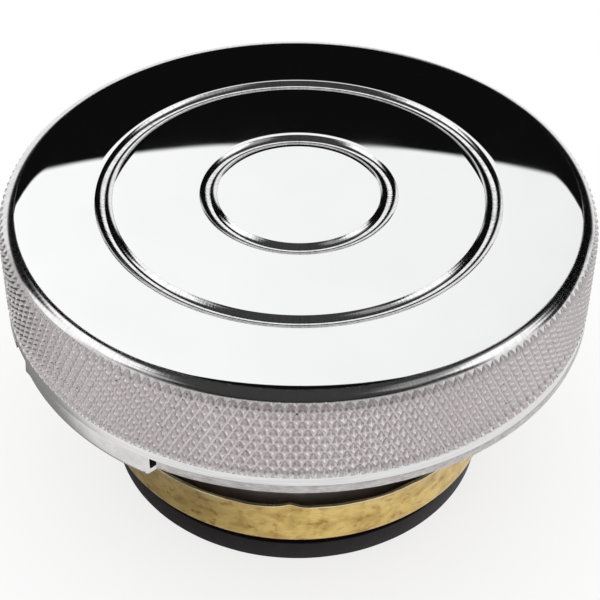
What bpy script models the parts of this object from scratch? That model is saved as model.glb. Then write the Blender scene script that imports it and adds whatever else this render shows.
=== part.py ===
"""Bayonet pressure filler cap: knurled billet cover, stamped locking shell, sprung brass valve.

The frame's origin is the centre of the pressure gasket's lower face, and +Z runs up the cap's
axis to the polished face. Every length below is in millimetres and is scaled to metres once,
where points become vertices.
"""

import math

import bmesh
import bpy

MM = 0.001
GAP = 0.3                       # clearance left where two pieces touch

# Billet cover
COVER_RADIUS = 35.0             # over the knurl's crests
COVER_TOP_Z = 37.7
FACE_RADIUS = 32.95             # where the crowned face meets the rim round
FACE_SAG = 0.3                  # how far the crown falls from centre to rim
RIM_ROUND = 2.05
GROOVE_RADII = (10.565, 22.73)  # centre lines of the two ball-milled grooves
GROOVE_HALF_WIDTH = 1.0
GROOVE_DEPTH = 0.38
KNURL_BOTTOM_Z = 26.35
LAND_TOP_Z = 26.25
LAND_RADIUS = 34.9
COVER_BOTTOM_Z = 25.2
RECESS_RADIUS = 33.3
RECESS_Z = 32.85                # ceiling of the pocket that takes the locking shell
RIVET_POCKET_RADIUS = 5.6
RIVET_POCKET_Z = 34.7

# Stamped locking shell
SHELL_SHEET = 0.6
SHELL_WEB_Z = 31.8              # underside of the web
SHELL_WALL_RADIUS = 33.0        # outside of the wall that nests in the cover
SHELL_BEND = 1.3
FLANGE_TOP_Z = 25.1
BAND_RADIUS = 35.0
BAND_BOTTOM_Z = 24.13
EAR_DIRECTION_DEG = 42.8        # the two ears lie on this line through the axis
EAR_WIDTH = 22.0
EAR_RELIEF = 1.95               # notch cut beside each side of an ear
EAR_RADIUS = 34.42
EAR_BOTTOM_Z = 21.52
EAR_TIP_RADIUS = 29.2
EAR_PAD_RADIUS = 32.1           # the tab's coined pad, which bears on the neck, ends here
EAR_PAD_STEP = 0.08

# Pieces stacked on the centre rivet
RIVET_SHANK_RADIUS = 2.3
RIVET_HOLE_RADIUS = 2.6
RUNNING_HOLE_RADIUS = 2.4       # holes that turn on the rivet
DISC_FLAT_RADIUS = 8.0
DISC_RIM_RADIUS = 31.0
DISC_CENTRE_Z = 31.0
DISC_RIM_Z = 29.8
DISC_SHEET = 0.5
SEAL_INNER_RADIUS = 25.2
SEAL_OUTER_RADIUS = 30.9
SEAL_Z = (28.0, 29.5)
SCREW_CIRCLE_RADIUS = 28.2
SCREW_DIRECTIONS_DEG = (12.8, 132.8, 252.8)
SCREW_SHANK_RADIUS = 1.3
SCREW_HEAD_RADIUS = 2.0
SCREW_HEAD_Z = (30.85, 31.5)
SCREW_TIP_Z = 35.5

# Spring bell
BELL_SHEET = 0.8
BELL_TOP_Z = 30.0
BELL_TOP_RADIUS = 22.1
BELL_FOOT_RADIUS = 22.9
BELL_LIP_RADIUS = 23.75
BELL_LIP_Z = (8.8, 9.6)
BELL_BEND = 2.4

# Pressure spring
SPRING_RADIUS = 17.5            # centre of the wire
SPRING_WIRE = 1.0               # wire radius
SPRING_TURNS = 5.0
SPRING_STEPS = 16               # points along each turn

# Brass valve cup
CUP_SHEET = 0.55
CUP_RIM_RADIUS = 25.3
CUP_RIM_Z = 11.1
CUP_FOOT_RADIUS = 24.5
CUP_FOOT_Z = 3.95
CUP_BEND = 1.2
CUP_HOLE_RADIUS = 10.1
STAKE_DIRECTIONS_DEG = (268.5, 28.5, 148.5)
STAKE_Z = 10.45
STAKE_DEPTH = 1.15
STAKE_HALF_WIDTH_DEG = 4.2
STAKE_HALF_HEIGHT = 0.42

# Pressure gasket and the pressed valve seat that holds it
GASKET_RADIUS = 23.4
GASKET_STEP_RADIUS = 15.5
GASKET_TOP_Z = 3.65             # face that bears on the cup's floor
GASKET_EDGE_Z = 2.75            # its outer edge is thinner
GASKET_STEP_Z = 1.4
SEAT_FLANGE_RADIUS = 15.2
SEAT_SHEET = 0.6
SEAT_BOTTOM_Z = 0.5
SEAT_TOP_Z = 6.05
SEAT_BORE_RADIUS = 9.2
SEAT_BEAD_RADIUS = 10.9
SEAT_BEAD_Z = (4.8, 5.4)
SEAT_PORT_RADIUS = 2.2

# Vacuum valve
VACUUM_DISC_RADIUS = 7.6
VACUUM_DISC_Z = (3.1, 3.7)
VACUUM_STEM_RADIUS = 1.2
VACUUM_STEM_TOP_Z = 12.2
CLIP_GROOVE_RADIUS = 0.85
CLIP_GROOVE_Z = (10.9, 11.6)
CLIP_RADII = (1.05, 3.4)
CLIP_Z = (11.05, 11.45)
VACUUM_SEAL_RADII = (1.6, 7.0)
VACUUM_SEAL_Z = (4.0, 4.6)
VACUUM_SPRING_RADIUS = 2.55
VACUUM_SPRING_WIRE = 0.22
VACUUM_SPRING_TURNS = 5.0

ROUND_STEPS = 48                # facets round a large piece
SMALL_STEPS = 32                # facets round a small piece
SCREW_STEPS = 16


def clear_scene():
    for old in list(bpy.data.objects):
        bpy.data.objects.remove(old, do_unlink=True)


def make_material(name, colour, roughness, metallic):
    material = bpy.data.materials.new(name)
    material.use_nodes = True
    shader = material.node_tree.nodes["Principled BSDF"]
    shader.inputs["Base Color"].default_value = (*colour, 1.0)
    shader.inputs["Roughness"].default_value = roughness
    shader.inputs["Metallic"].default_value = metallic
    return material


def arc(centre, radius, start_deg, end_deg, steps):
    """Points of an arc in the (radius, height) plane, both ends included."""
    points = []
    for step in range(steps + 1):
        angle = math.radians(start_deg + (end_deg - start_deg) * step / steps)
        points.append((centre[0] + radius * math.cos(angle), centre[1] + radius * math.sin(angle)))
    return points


def link_mesh(name, vertices, edges, faces, material):
    mesh = bpy.data.meshes.new(name)
    mesh.from_pydata([(x * MM, y * MM, z * MM) for x, y, z in vertices], edges, faces)
    piece = bpy.data.objects.new(name, mesh)
    bpy.context.scene.collection.objects.link(piece)
    if material is not None:
        mesh.materials.append(material)
    return piece


def turned(name, profile, material, steps=ROUND_STEPS):
    """Turn a profile about Z. It runs down its outer side, and ends on the axis or closes."""
    on_axis = profile[0][0] == 0.0 and profile[-1][0] == 0.0
    count = len(profile)
    edges = [(i, i + 1) for i in range(count - 1)]
    if not on_axis:
        edges.append((count - 1, 0))
    piece = link_mesh(name, [(r, 0.0, z) for r, z in profile], edges, [], material)
    screw = piece.modifiers.new("turn", "SCREW")
    screw.steps = steps
    screw.render_steps = steps
    screw.use_merge_vertices = True
    screw.merge_threshold = 0.00001
    screw.use_smooth_shade = True
    return piece


def box_cutter(name, low, high, direction_deg=0.0):
    """A hidden box, turned about Z, for cutting or trimming another piece."""
    corners = [(x, y, z) for x in (low[0], high[0]) for y in (low[1], high[1]) for z in (low[2], high[2])]
    faces = [(0, 1, 3, 2), (4, 6, 7, 5), (0, 4, 5, 1), (2, 3, 7, 6), (0, 2, 6, 4), (1, 5, 7, 3)]
    piece = link_mesh(name, corners, [], faces, None)
    piece.rotation_euler.z = math.radians(direction_deg)
    return as_guide(piece)


def as_guide(piece):
    piece.hide_render = True
    piece.display_type = "WIRE"
    return piece


def combine(piece, operation, other):
    boolean = piece.modifiers.new(operation.lower(), "BOOLEAN")
    boolean.operation = operation
    boolean.solver = "EXACT"
    boolean.object = other


def pillar_cutter(name, radius, z_low, z_high, x, y, steps=SCREW_STEPS):
    """A hidden upright cylinder for drilling a hole."""
    mesh = bpy.data.meshes.new(name)
    shape = bmesh.new()
    bmesh.ops.create_cone(
        shape,
        cap_ends=True,
        segments=steps,
        radius1=radius * MM,
        radius2=radius * MM,
        depth=(z_high - z_low) * MM,
    )
    shape.to_mesh(mesh)
    shape.free()
    piece = bpy.data.objects.new(name, mesh)
    piece.location = (x * MM, y * MM, (z_low + z_high) / 2 * MM)
    bpy.context.scene.collection.objects.link(piece)
    return as_guide(piece)


def screw_places():
    places = []
    for direction in SCREW_DIRECTIONS_DEG:
        angle = math.radians(direction)
        places.append((SCREW_CIRCLE_RADIUS * math.cos(angle), SCREW_CIRCLE_RADIUS * math.sin(angle)))
    return places


def face_height(radius):
    return COVER_TOP_Z - FACE_SAG * (radius / FACE_RADIUS) ** 2


def groove_points(centre_radius):
    """Round-bottomed groove, from its inner lip to its outer lip."""
    lip = face_height(centre_radius)
    ball = (GROOVE_HALF_WIDTH ** 2 + GROOVE_DEPTH ** 2) / (2 * GROOVE_DEPTH)
    centre = (centre_radius, lip - GROOVE_DEPTH + ball)
    half_angle = math.degrees(math.asin(GROOVE_HALF_WIDTH / ball))
    return arc(centre, ball, -90 - half_angle, -90 + half_angle, 4)


def make_cover(material):
    rim_z = face_height(FACE_RADIUS)
    profile = [(0.0, COVER_TOP_Z)]
    for centre_radius in GROOVE_RADII:
        profile += groove_points(centre_radius)
    profile += arc((FACE_RADIUS, rim_z - RIM_ROUND), RIM_ROUND, 90, 0, 4)
    profile += [
        (COVER_RADIUS, KNURL_BOTTOM_Z),
        (LAND_RADIUS, LAND_TOP_Z),
        (LAND_RADIUS, COVER_BOTTOM_Z + 0.2),
        (LAND_RADIUS - 0.2, COVER_BOTTOM_Z),
        (RECESS_RADIUS, COVER_BOTTOM_Z),
        (RECESS_RADIUS, RECESS_Z),
        (RIVET_POCKET_RADIUS, RECESS_Z),
        (RIVET_POCKET_RADIUS, RIVET_POCKET_Z),
        (0.0, RIVET_POCKET_Z),
    ]
    cover = turned("cover", profile, material)
    for number, (x, y) in enumerate(screw_places(), 1):
        hole = pillar_cutter(
            f"cover_screw_hole_{number}", SCREW_SHANK_RADIUS + GAP, RECESS_Z - 1.0, SCREW_TIP_Z + GAP, x, y
        )
        combine(cover, "DIFFERENCE", hole)
    return cover


def shell_ring_profile():
    """Web, wall, flange and band of the shell, as one folded sheet."""
    web_top = SHELL_WEB_Z + SHELL_SHEET
    wall_inside = SHELL_WALL_RADIUS - SHELL_SHEET
    flange_bottom = FLANGE_TOP_Z - SHELL_SHEET
    bend_centre = (SHELL_WALL_RADIUS - SHELL_BEND, web_top - SHELL_BEND)
    band_inside = BAND_RADIUS - SHELL_SHEET
    profile = [(RIVET_HOLE_RADIUS, web_top)]
    profile += arc(bend_centre, SHELL_BEND, 90, 0, 3)
    profile += [(SHELL_WALL_RADIUS, FLANGE_TOP_Z)]
    profile += arc((BAND_RADIUS - 0.12, FLANGE_TOP_Z - 0.12), 0.12, 90, 0, 1)
    profile += [
        (BAND_RADIUS, BAND_BOTTOM_Z),
        (band_inside, BAND_BOTTOM_Z),
        (band_inside, flange_bottom),
        (wall_inside, flange_bottom),
    ]
    profile += arc(bend_centre, SHELL_BEND - SHELL_SHEET, 0, 90, 2)
    profile += [(RIVET_HOLE_RADIUS, SHELL_WEB_Z)]
    return profile


def ear_profile():
    """An ear's section: its root in the flange, the wall down, and the tab turned inwards."""
    root_inset = 0.05
    inside = EAR_RADIUS - SHELL_SHEET
    tab_top = EAR_BOTTOM_Z + SHELL_SHEET
    outer_bend = 0.75
    inner_bend = outer_bend - SHELL_SHEET
    bend_centre = (EAR_RADIUS - outer_bend, EAR_BOTTOM_Z + outer_bend)
    profile = [(SHELL_WALL_RADIUS - 0.4, FLANGE_TOP_Z - root_inset)]
    profile += arc((EAR_RADIUS - 0.3, FLANGE_TOP_Z - root_inset - 0.3), 0.3, 90, 0, 2)
    profile += arc(bend_centre, outer_bend, 0, -90, 3)
    profile += [
        (EAR_TIP_RADIUS, EAR_BOTTOM_Z),
        (EAR_TIP_RADIUS, tab_top),
        (EAR_PAD_RADIUS, tab_top),
        (EAR_PAD_RADIUS + EAR_PAD_STEP, tab_top - EAR_PAD_STEP),
        (bend_centre[0], tab_top - EAR_PAD_STEP),
    ]
    profile += arc(bend_centre, inner_bend, -90, 0, 2)[1:]
    profile += [
        (inside, FLANGE_TOP_Z - SHELL_SHEET + root_inset),
        (SHELL_WALL_RADIUS - 0.4, FLANGE_TOP_Z - SHELL_SHEET + root_inset),
    ]
    return profile


def make_locking_shell(material):
    shell = turned("locking_shell", shell_ring_profile(), material)

    relief = as_guide(
        flat_ring("ear_relief", (SHELL_WALL_RADIUS + 0.25, BAND_RADIUS + 2.0), (22.0, 26.0), None, ROUND_STEPS)
    )
    half_relief = EAR_WIDTH / 2 + EAR_RELIEF
    relief_box = box_cutter("ear_relief_box", (-40, -half_relief, 20), (40, half_relief, 28), EAR_DIRECTION_DEG)
    combine(relief, "INTERSECT", relief_box)
    combine(shell, "DIFFERENCE", relief)

    ears = as_guide(turned("ear_ring", ear_profile(), None))
    half_ear = EAR_WIDTH / 2
    ear_box = box_cutter("ear_box", (-40, -half_ear, 20), (40, half_ear, 28), EAR_DIRECTION_DEG)
    combine(ears, "INTERSECT", ear_box)
    combine(shell, "UNION", ears)

    for number, (x, y) in enumerate(screw_places(), 1):
        hole = pillar_cutter(
            f"shell_screw_hole_{number}", SCREW_SHANK_RADIUS + GAP, SHELL_WEB_Z - 1.0, RECESS_Z, x, y
        )
        combine(shell, "DIFFERENCE", hole)
    return shell


def make_cover_screws(material):
    head_bottom, head_top = SCREW_HEAD_Z
    profile = [
        (0.0, SCREW_TIP_Z),
        (SCREW_SHANK_RADIUS - 0.4, SCREW_TIP_Z),
        (SCREW_SHANK_RADIUS, SCREW_TIP_Z - 0.5),
        (SCREW_SHANK_RADIUS, head_top),
        (SCREW_HEAD_RADIUS, head_top),
        (SCREW_HEAD_RADIUS, head_bottom + 0.25),
        (SCREW_HEAD_RADIUS - 0.3, head_bottom),
        (0.0, head_bottom),
    ]
    for number, (x, y) in enumerate(screw_places(), 1):
        piece = turned(f"cover_screw_{number}", profile, material, SCREW_STEPS)
        piece.location = (x * MM, y * MM, 0.0)


def make_disc_spring(material):
    profile = [
        (RIVET_HOLE_RADIUS, DISC_CENTRE_Z + DISC_SHEET),
        (DISC_FLAT_RADIUS, DISC_CENTRE_Z + DISC_SHEET),
        (DISC_RIM_RADIUS, DISC_RIM_Z + DISC_SHEET),
        (DISC_RIM_RADIUS, DISC_RIM_Z),
        (DISC_FLAT_RADIUS, DISC_CENTRE_Z),
        (RIVET_HOLE_RADIUS, DISC_CENTRE_Z),
    ]
    return turned("disc_spring", profile, material)


def flat_ring(name, radii, heights, material, steps):
    inner, outer = radii
    low, high = heights
    return turned(name, [(inner, high), (outer, high), (outer, low), (inner, low)], material, steps)


def make_upper_seal(material):
    low, high = SEAL_Z
    edge = 0.25
    profile = [
        (SEAL_INNER_RADIUS, high),
        (SEAL_OUTER_RADIUS, high),
        (SEAL_OUTER_RADIUS, low + edge),
        (SEAL_OUTER_RADIUS - edge, low),
        (SEAL_INNER_RADIUS + edge, low),
        (SEAL_INNER_RADIUS, low + edge),
    ]
    return turned("upper_seal", profile, material)


def make_centre_rivet(material):
    head_seat_z = SHELL_WEB_Z + SHELL_SHEET + GAP
    foot_seat_z = 28.0
    profile = [
        (0.0, 34.25),
        (2.6, 34.1),
        (4.3, 33.7),
        (5.0, 33.2),
        (5.0, head_seat_z),
        (RIVET_SHANK_RADIUS, head_seat_z),
        (RIVET_SHANK_RADIUS, foot_seat_z),
        (4.3, foot_seat_z),
        (4.3, 27.6),
        (3.4, 27.1),
        (1.8, 26.8),
        (0.0, 26.7),
    ]
    return turned("centre_rivet", profile, material, SMALL_STEPS)


def make_spring_bell(material):
    lip_bottom, lip_top = BELL_LIP_Z
    inside = BELL_FOOT_RADIUS - BELL_SHEET
    bend_centre = (BELL_TOP_RADIUS - BELL_BEND, BELL_TOP_Z - BELL_BEND)
    profile = [(RUNNING_HOLE_RADIUS, BELL_TOP_Z)]
    profile += arc(bend_centre, BELL_BEND, 90, 0, 4)
    profile += [
        (BELL_FOOT_RADIUS, lip_top + 0.3),
        (BELL_FOOT_RADIUS + 0.3, lip_top),
        (BELL_LIP_RADIUS, lip_top),
        (BELL_LIP_RADIUS, lip_bottom),
        (inside + 0.4, lip_bottom),
        (inside, lip_bottom + 0.5),
    ]
    profile += arc(bend_centre, BELL_BEND - BELL_SHEET, 0, 90, 3)
    profile += [(RUNNING_HOLE_RADIUS, BELL_TOP_Z - BELL_SHEET)]
    return turned("spring_bell", profile, material)


def coil_heights(low, high, wire, turns, steps_per_turn):
    """Height of each point of a coil whose first and last turns are wound close."""
    start = low + wire
    end = high - wire
    close_pitch = wire * 2.15
    open_pitch = (end - start - 2 * close_pitch) / (turns - 2)
    heights = []
    for step in range(int(turns * steps_per_turn) + 1):
        turn = step / steps_per_turn
        closed_part = min(turn, 1.0) + max(0.0, turn - (turns - 1.0))
        open_part = turn - closed_part
        heights.append(start + closed_part * close_pitch + open_part * open_pitch)
    return heights


def coil_spring(name, radius, wire, turns, low, high, steps_per_turn, sides, material):
    """A round-wire coil spring as a bevelled curve with filled ends."""
    heights = coil_heights(low, high, wire, turns, steps_per_turn)
    curve = bpy.data.curves.new(name, "CURVE")
    curve.dimensions = "3D"
    curve.bevel_depth = wire * MM
    curve.bevel_resolution = sides
    curve.use_fill_caps = True
    spline = curve.splines.new("POLY")
    spline.points.add(len(heights) - 1)
    for step, height in enumerate(heights):
        angle = 2 * math.pi * step / steps_per_turn
        x = radius * math.cos(angle) * MM
        y = radius * math.sin(angle) * MM
        spline.points[step].co = (x, y, height * MM, 1.0)
    curve.materials.append(material)
    piece = bpy.data.objects.new(name, curve)
    bpy.context.scene.collection.objects.link(piece)
    return piece


def cup_outer_points():
    """Outside of the brass cup, from its flared rim down to its floor."""
    points = [(CUP_RIM_RADIUS, CUP_RIM_Z)]
    points += [(CUP_RIM_RADIUS - 0.16, CUP_RIM_Z - 0.33), (CUP_RIM_RADIUS - 0.29, STAKE_Z)]
    points += [(CUP_RIM_RADIUS - 0.40, CUP_RIM_Z - 1.0), (CUP_RIM_RADIUS - 0.50, CUP_RIM_Z - 1.5)]
    points += [(CUP_FOOT_RADIUS + 0.12, CUP_FOOT_Z + 4.35)]
    points += arc((CUP_FOOT_RADIUS - CUP_BEND, CUP_FOOT_Z + CUP_BEND), CUP_BEND, 0, -90, 3)
    return points


def cup_inner_points():
    """Inside of the brass cup, from its floor up to its rim."""
    bend = CUP_BEND - CUP_SHEET
    points = arc((CUP_FOOT_RADIUS - CUP_BEND, CUP_FOOT_Z + CUP_BEND), bend, -90, 0, 2)
    outer = cup_outer_points()[:6]
    points += [(r - CUP_SHEET, z) for r, z in reversed(outer)]
    return points


def press_stakes(piece):
    """Push the rim in at three places, over the bell's lip, so the cup can't fall off it."""
    for vertex in piece.data.vertices:
        x, y, z = vertex.co / MM
        radius = math.hypot(x, y)
        if radius < CUP_FOOT_RADIUS - 1.5:
            continue
        angle = math.degrees(math.atan2(y, x))
        push = 0.0
        for direction in STAKE_DIRECTIONS_DEG:
            off = (angle - direction + 180.0) % 360.0 - 180.0
            push += math.exp(-((off / STAKE_HALF_WIDTH_DEG) ** 2) - ((z - STAKE_Z) / STAKE_HALF_HEIGHT) ** 2)
        factor = (radius - STAKE_DEPTH * push) / radius
        vertex.co.x *= factor
        vertex.co.y *= factor


def apply_modifiers(piece):
    """Replace a piece's mesh with its evaluated one."""
    bpy.context.view_layer.update()
    evaluated = piece.evaluated_get(bpy.context.evaluated_depsgraph_get())
    mesh = bpy.data.meshes.new_from_object(evaluated)
    piece.modifiers.clear()
    piece.data = mesh


def make_valve_cup(material):
    profile = [(CUP_HOLE_RADIUS, CUP_FOOT_Z + CUP_SHEET)]
    profile += cup_inner_points()
    profile += cup_outer_points()
    profile += [(CUP_HOLE_RADIUS, CUP_FOOT_Z)]
    cup = turned("valve_cup", profile, material)
    apply_modifiers(cup)
    press_stakes(cup)
    return cup


def make_pressure_gasket(material):
    edge = 0.15
    profile = [
        (CUP_HOLE_RADIUS, GASKET_TOP_Z),
        (GASKET_RADIUS - 1.3, GASKET_TOP_Z),
        (GASKET_RADIUS - edge, GASKET_EDGE_Z),
        (GASKET_RADIUS, GASKET_EDGE_Z - edge),
        (GASKET_RADIUS, edge),
        (GASKET_RADIUS - edge, 0.0),
        (GASKET_STEP_RADIUS + edge, 0.0),
        (GASKET_STEP_RADIUS, edge),
        (GASKET_STEP_RADIUS, GASKET_STEP_Z),
        (CUP_HOLE_RADIUS, GASKET_STEP_Z),
    ]
    return turned("pressure_gasket", profile, material)


def make_valve_seat(material):
    """Pressed hat: its flange holds the gasket up, and its bead is staked over the cup's floor."""
    collar_radius = SEAT_BORE_RADIUS + SEAT_SHEET
    bead_low, bead_high = SEAT_BEAD_Z
    flange_top = SEAT_BOTTOM_Z + SEAT_SHEET
    profile = [
        (SEAT_PORT_RADIUS, SEAT_TOP_Z),
        (collar_radius - 0.4, SEAT_TOP_Z),
        (collar_radius, SEAT_TOP_Z - 0.4),
        (SEAT_BEAD_RADIUS - 0.2, bead_high),
        (SEAT_BEAD_RADIUS, bead_high - 0.2),
        (SEAT_BEAD_RADIUS, bead_low),
        (collar_radius, bead_low),
        (collar_radius, flange_top),
        (SEAT_FLANGE_RADIUS, flange_top),
        (SEAT_FLANGE_RADIUS, SEAT_BOTTOM_Z),
        (SEAT_BORE_RADIUS + 0.3, SEAT_BOTTOM_Z),
        (SEAT_BORE_RADIUS, SEAT_BOTTOM_Z + 0.3),
        (SEAT_BORE_RADIUS, SEAT_TOP_Z - SEAT_SHEET),
        (SEAT_PORT_RADIUS, SEAT_TOP_Z - SEAT_SHEET),
    ]
    return turned("valve_seat", profile, material, SMALL_STEPS)


def make_vacuum_valve(material):
    disc_low, disc_high = VACUUM_DISC_Z
    groove_low, groove_high = CLIP_GROOVE_Z
    profile = [
        (0.0, VACUUM_STEM_TOP_Z),
        (VACUUM_STEM_RADIUS - 0.3, VACUUM_STEM_TOP_Z),
        (VACUUM_STEM_RADIUS, VACUUM_STEM_TOP_Z - 0.3),
        (VACUUM_STEM_RADIUS, groove_high),
        (CLIP_GROOVE_RADIUS, groove_high),
        (CLIP_GROOVE_RADIUS, groove_low),
        (VACUUM_STEM_RADIUS, groove_low),
        (VACUUM_STEM_RADIUS, disc_high),
        (VACUUM_DISC_RADIUS, disc_high),
        (VACUUM_DISC_RADIUS, disc_low + 0.2),
        (VACUUM_DISC_RADIUS - 0.2, disc_low),
        (3.2, disc_low),
        (2.4, disc_low - 0.6),
        (0.0, disc_low - 0.7),
    ]
    return turned("vacuum_valve", profile, material, SMALL_STEPS)


def main():
    clear_scene()
    polished = make_material("polished_aluminium", (0.80, 0.80, 0.82), 0.08, 1.0)
    plated = make_material("plated_steel", (0.62, 0.61, 0.60), 0.34, 1.0)
    spring_steel = make_material("spring_steel", (0.45, 0.45, 0.46), 0.38, 1.0)
    dark_steel = make_material("dark_steel", (0.16, 0.15, 0.16), 0.42, 1.0)
    brass = make_material("brass", (0.66, 0.52, 0.24), 0.36, 1.0)
    rubber = make_material("rubber", (0.03, 0.028, 0.032), 0.78, 0.0)

    make_cover(polished)
    make_locking_shell(plated)
    make_cover_screws(plated)
    make_disc_spring(spring_steel)
    make_upper_seal(rubber)
    make_centre_rivet(plated)
    flat_ring("spacer_washer", (RUNNING_HOLE_RADIUS, 6.0), (30.3, 30.7), plated, SMALL_STEPS)
    make_spring_bell(dark_steel)
    flat_ring("rivet_washer", (RUNNING_HOLE_RADIUS, 5.5), (28.3, 28.9), plated, SMALL_STEPS)
    coil_spring(
        "pressure_spring",
        SPRING_RADIUS,
        SPRING_WIRE,
        SPRING_TURNS,
        CUP_FOOT_Z + CUP_SHEET + GAP,
        BELL_TOP_Z - BELL_SHEET - GAP,
        SPRING_STEPS,
        1,
        spring_steel,
    )
    make_valve_cup(brass)
    make_pressure_gasket(rubber)
    make_valve_seat(brass)
    make_vacuum_valve(brass)
    flat_ring("vacuum_seal", VACUUM_SEAL_RADII, VACUUM_SEAL_Z, rubber, SMALL_STEPS)
    coil_spring(
        "vacuum_spring",
        VACUUM_SPRING_RADIUS,
        VACUUM_SPRING_WIRE,
        VACUUM_SPRING_TURNS,
        SEAT_TOP_Z + GAP,
        CLIP_Z[0] - GAP,
        12,
        1,
        spring_steel,
    )
    flat_ring("vacuum_clip", CLIP_RADII, CLIP_Z, plated, SCREW_STEPS)


main()
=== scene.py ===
"""Looks of the bayonet pressure filler cap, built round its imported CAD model.

Lengths in this file are millimetres in the CAD model's own frame, scaled to metres where points
become vertices. Z runs up the cap's axis and the gasket's lower face is at zero.
"""
import math

import bmesh
import bpy
import numpy as np
from mathutils import Matrix, Vector


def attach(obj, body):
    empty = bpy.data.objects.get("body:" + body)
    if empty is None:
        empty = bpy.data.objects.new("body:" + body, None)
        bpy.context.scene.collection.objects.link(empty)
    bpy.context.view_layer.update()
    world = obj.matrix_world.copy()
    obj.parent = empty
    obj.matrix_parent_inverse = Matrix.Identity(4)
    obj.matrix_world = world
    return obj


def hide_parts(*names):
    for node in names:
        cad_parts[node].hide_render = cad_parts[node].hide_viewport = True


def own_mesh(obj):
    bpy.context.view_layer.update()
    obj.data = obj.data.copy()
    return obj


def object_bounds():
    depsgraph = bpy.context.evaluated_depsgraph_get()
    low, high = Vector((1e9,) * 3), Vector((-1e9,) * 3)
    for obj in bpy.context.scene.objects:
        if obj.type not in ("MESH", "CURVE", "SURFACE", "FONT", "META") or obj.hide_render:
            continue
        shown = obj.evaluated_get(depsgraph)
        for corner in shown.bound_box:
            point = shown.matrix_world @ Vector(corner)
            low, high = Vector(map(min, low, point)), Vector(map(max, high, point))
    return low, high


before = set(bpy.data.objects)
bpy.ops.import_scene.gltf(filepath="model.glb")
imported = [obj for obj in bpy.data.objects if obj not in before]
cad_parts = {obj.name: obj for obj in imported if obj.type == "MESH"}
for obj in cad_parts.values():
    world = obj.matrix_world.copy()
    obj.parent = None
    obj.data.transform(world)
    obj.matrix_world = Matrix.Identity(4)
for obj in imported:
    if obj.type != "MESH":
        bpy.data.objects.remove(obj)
CAD_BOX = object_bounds()

MM = 0.001
TAU = 2.0 * math.pi

# ---------------------------------------------------------------- sizes

# Cover
COVER_RADIUS = 35.0
COVER_TOP_Z = 37.7
FACE_RADIUS = 32.95
FACE_SAG = 0.3
GROOVE_RADII = (10.565, 22.73)
GROOVE_HALF_WIDTH = 1.0
GROOVE_DEPTH = 0.38
GROOVE_LIP = 0.08
LAND_RADIUS = 34.9
COVER_BOTTOM_Z = 25.12
KNURL_BOTTOM_Z = 26.25
RECESS_RADIUS = 33.3
RECESS_Z = 32.85
POCKET_RADIUS = 5.6
POCKET_Z = 34.7
KNURL_LINES = 182
KNURL_DEPTH = 0.57
KNURL_SECTION = (0.93, 1.0, 0.68, 0.38, 0.10, 0.0)   # groove depth from its middle to the crest's middle
KNURL_RUN_IN = 0.22             # extra depth where the tool ran in over the rim
KNURL_RUN_IN_Z = (35.3, 36.6)
KNURL_RUN_OUT = 0.5             # height over which the grooves fade out above the land
KNURL_AXIAL_PITCH = 2.28
KNURL_COLUMNS = 10              # mesh columns for each knurl line

# Locking shell
SHELL_SHEET = 0.6
SHELL_WEB_Z = 31.8
SHELL_WALL_RADIUS = 33.0
FLANGE_TOP_Z = 25.11
BAND_RADIUS = 34.91
BAND_BOTTOM_Z = 24.05
EAR_DIRECTION_DEG = 42.8
EAR_WIDTH = 22.0
EAR_RELIEF = 1.95
EAR_RADIUS = 34.42
EAR_BOTTOM_Z = 21.52
EAR_TIP_RADIUS = 29.2

# Holes round the rivet, and the upper seal
RIVET_HOLE_RADIUS = 2.6
RUNNING_HOLE_RADIUS = 2.4
UPPER_SEAL_RADII = (25.2, 30.9)
UPPER_SEAL_Z = (28.0, 29.5)

# Screws
SCREW_CIRCLE_RADIUS = 28.2
SCREW_DIRECTIONS_DEG = (12.8, 132.8, 252.8)
SCREW_RADIUS = 1.3
SCREW_ROOT_RADIUS = 1.08
SCREW_HEAD_RADIUS = 2.0
SCREW_TIP_Z = 35.5
SCREW_SEAT_Z = 31.5
SCREW_HEAD_Z = 30.85
SOCKET_RADIUS = 0.75
SOCKET_Z = 31.25

# Spring bell
BELL_SHEET = 0.8
BELL_TOP_Z = 30.0
BELL_TOP_RADIUS = 22.1
BELL_FOOT_RADIUS = 22.9
BELL_LIP_RADIUS = 23.75
BELL_LIP_Z = (8.8, 9.6)

# Springs
SPRING_RADIUS = 17.5
SPRING_WIRE = 1.0
SPRING_TURNS = 5.0
SPRING_Z = (4.8, 28.9)
VACUUM_SPRING_RADIUS = 2.55
VACUUM_SPRING_WIRE = 0.22
VACUUM_SPRING_Z = (6.35, 10.75)

# Brass cup
CUP_SHEET = 0.55
CUP_RIM_RADIUS = 25.3
CUP_RIM_Z = 11.1
CUP_FOOT_RADIUS = 24.5
CUP_FOOT_Z = 3.95
CUP_HOLE_RADIUS = 10.1
STAKE_DIRECTIONS_DEG = (268.5, 28.5, 148.5)
STAKE_Z = 10.45
STAKE_DEPTH = 0.6
STAKE_HALF_WIDTH_DEG = 2.3
PUNCH_DEPTH = 0.32
PUNCH_HALF_WIDTH_DEG = 0.8
PUNCH_LOW_Z = (7.3, 8.0)
PUNCH_HIGH_Z = (8.8, 9.8)

# Gasket, seat and vacuum valve
GASKET_RADIUS = 23.4
GASKET_STEP_RADIUS = 15.5
GASKET_TOP_Z = 3.65
GASKET_EDGE_Z = 2.75
GASKET_STEP_Z = 1.4
SEAT_FLANGE_RADIUS = 15.2
SEAT_SHEET = 0.6
SEAT_BOTTOM_Z = 0.5
SEAT_TOP_Z = 6.05
SEAT_BORE_RADIUS = 9.2
SEAT_BEAD_RADIUS = 10.9
SEAT_BEAD_Z = (4.8, 5.4)
SEAT_PORT_RADIUS = 2.2

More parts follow.
